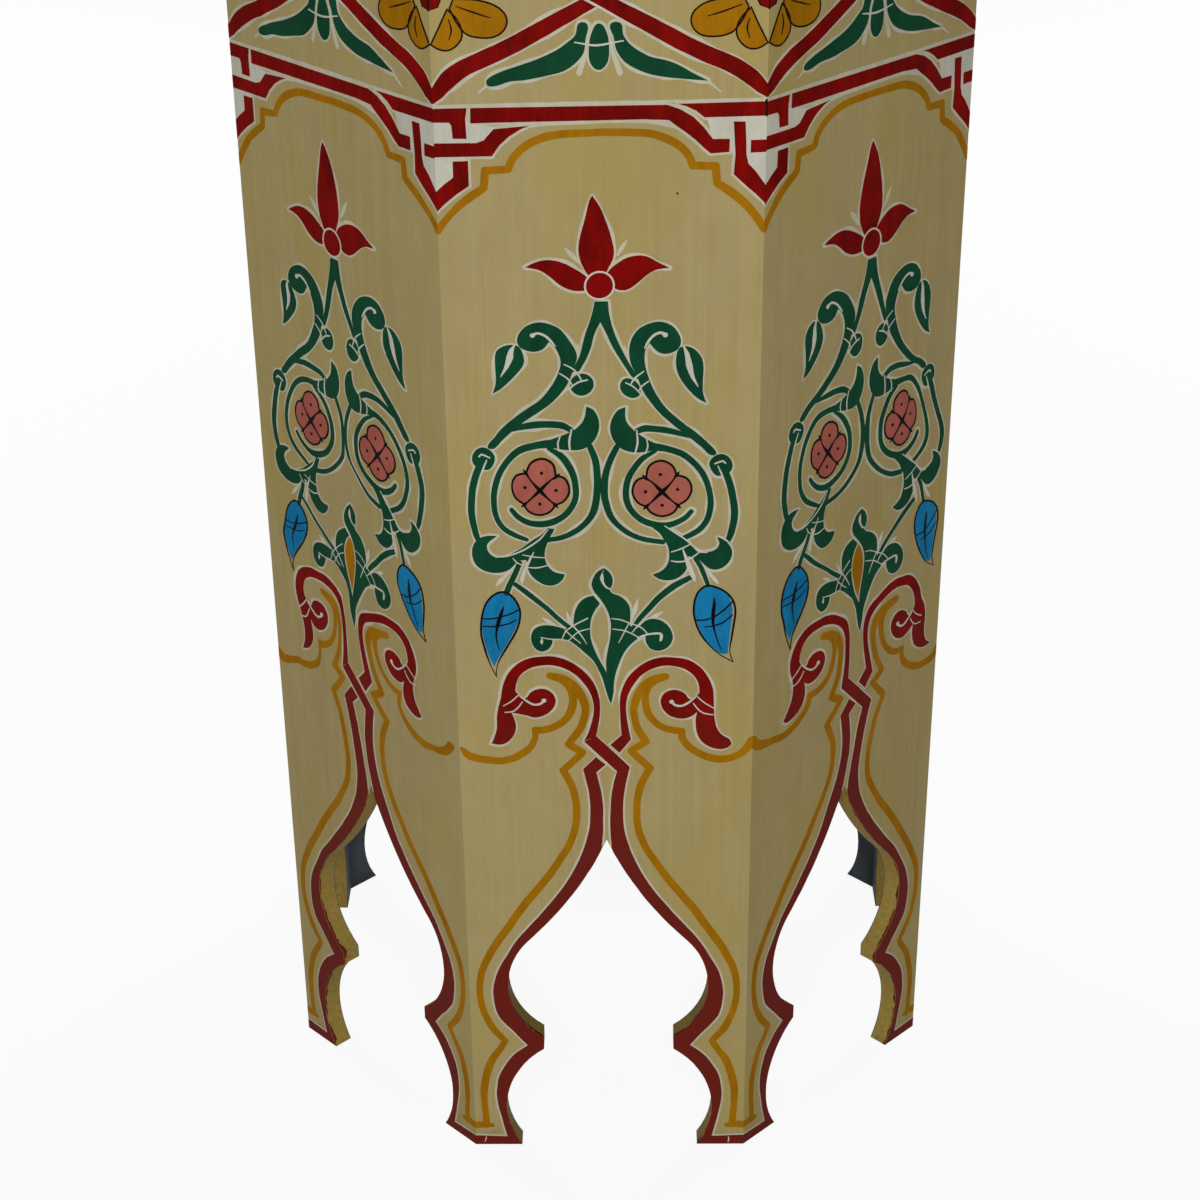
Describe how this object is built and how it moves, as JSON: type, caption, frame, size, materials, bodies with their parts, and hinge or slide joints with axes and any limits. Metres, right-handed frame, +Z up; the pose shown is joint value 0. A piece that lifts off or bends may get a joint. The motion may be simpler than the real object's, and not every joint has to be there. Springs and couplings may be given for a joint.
{
  "type": "octagonal side table",
  "caption": "Tall octagonal side table of painted wood with cusped arches cut between its feet and a flat overhanging top, for lamps, trays or plants.",
  "frame": {"origin": "on the floor, in the middle of the eight feet", "axes": "+Z up, -Y out of the front panel, +X to the right seen from the front"},
  "size_m": [0.4062, 0.4062, 0.71],
  "materials": {
    "painted_wood": "hand-painted ornament on a beige ground, satin varnish",
    "painted_top": "hand-painted ornament on a beige ground, satin varnish",
    "bare_wood": "rough sawn, brushed over with thin dark paint",
    "steel": "plain bright steel"
  },
  "bodies": {
    "root": {"side_panel_1": "painted_wood", "side_panel_2": "painted_wood", "side_panel_3": "painted_wood", "side_panel_4": "painted_wood", "side_panel_5": "painted_wood", "side_panel_6": "painted_wood", "side_panel_7": "painted_wood", "side_panel_8": "painted_wood", "corner_block_1": "bare_wood", "corner_block_2": "bare_wood", "corner_block_3": "bare_wood", "corner_block_4": "bare_wood", "corner_block_5": "bare_wood", "corner_block_6": "bare_wood", "corner_block_7": "bare_wood", "corner_block_8": "bare_wood", "top_cleat_1": "bare_wood", "top_cleat_2": "bare_wood", "top_cleat_3": "bare_wood", "top_cleat_4": "bare_wood", "top_cleat_5": "bare_wood", "top_cleat_6": "bare_wood", "top_cleat_7": "bare_wood", "top_cleat_8": "bare_wood", "top_plank_left": "painted_top", "top_plank_middle": "painted_top", "top_plank_right": "painted_top", "top_screws": "steel", "block_pins": "steel", "cleat_pins": "steel"}
  },
  "joints": []
}
